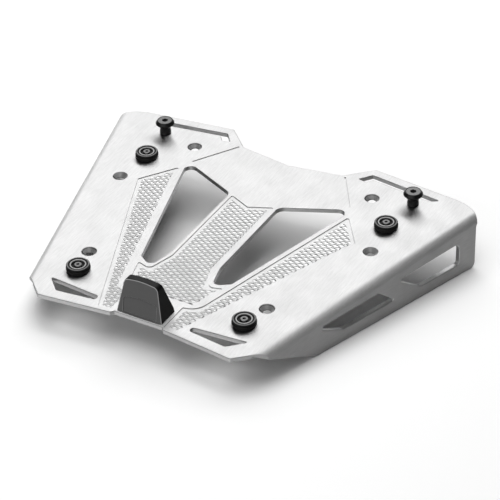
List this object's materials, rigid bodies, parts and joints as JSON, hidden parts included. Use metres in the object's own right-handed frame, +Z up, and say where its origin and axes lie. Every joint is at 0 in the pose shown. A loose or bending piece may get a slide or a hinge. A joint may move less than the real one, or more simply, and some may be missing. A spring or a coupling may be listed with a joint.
{
  "type": "top case mounting plate",
  "caption": "Folded aluminium plate that bolts to a motorbike rack and carries a top case on front studs, rubber buffers and a rear catch.",
  "frame": {"origin": "on the underside of the sheet, the face that sits on the rack, on the mirror plane and halfway along the plate", "axes": "+X to the right of the bike, +Y forwards to the studs, +Z up to the case"},
  "size_m": [0.3534, 0.2818, 0.0813],
  "materials": {
    "brushed_aluminium": "brushed and clear anodised",
    "catch_plastic": "fine moulded grain",
    "black_steel": "satin black",
    "dark_screw": "black oxide",
    "buffer_rubber": "moulded rubber",
    "zinc_steel": "zinc plated"
  },
  "bodies": {
    "root": {"plate": "brushed_aluminium", "catch": "catch_plastic", "left_stud": "black_steel", "right_stud": "black_steel", "stud_screws": "dark_screw", "stud_washers": "zinc_steel", "stud_nuts": "zinc_steel", "front_left_buffer": "buffer_rubber", "front_right_buffer": "buffer_rubber", "rear_left_buffer": "buffer_rubber", "rear_right_buffer": "buffer_rubber", "buffer_screws": "dark_screw", "buffer_washers": "zinc_steel", "buffer_nuts": "zinc_steel", "catch_screws": "zinc_steel", "catch_washers": "zinc_steel"}
  },
  "joints": []
}
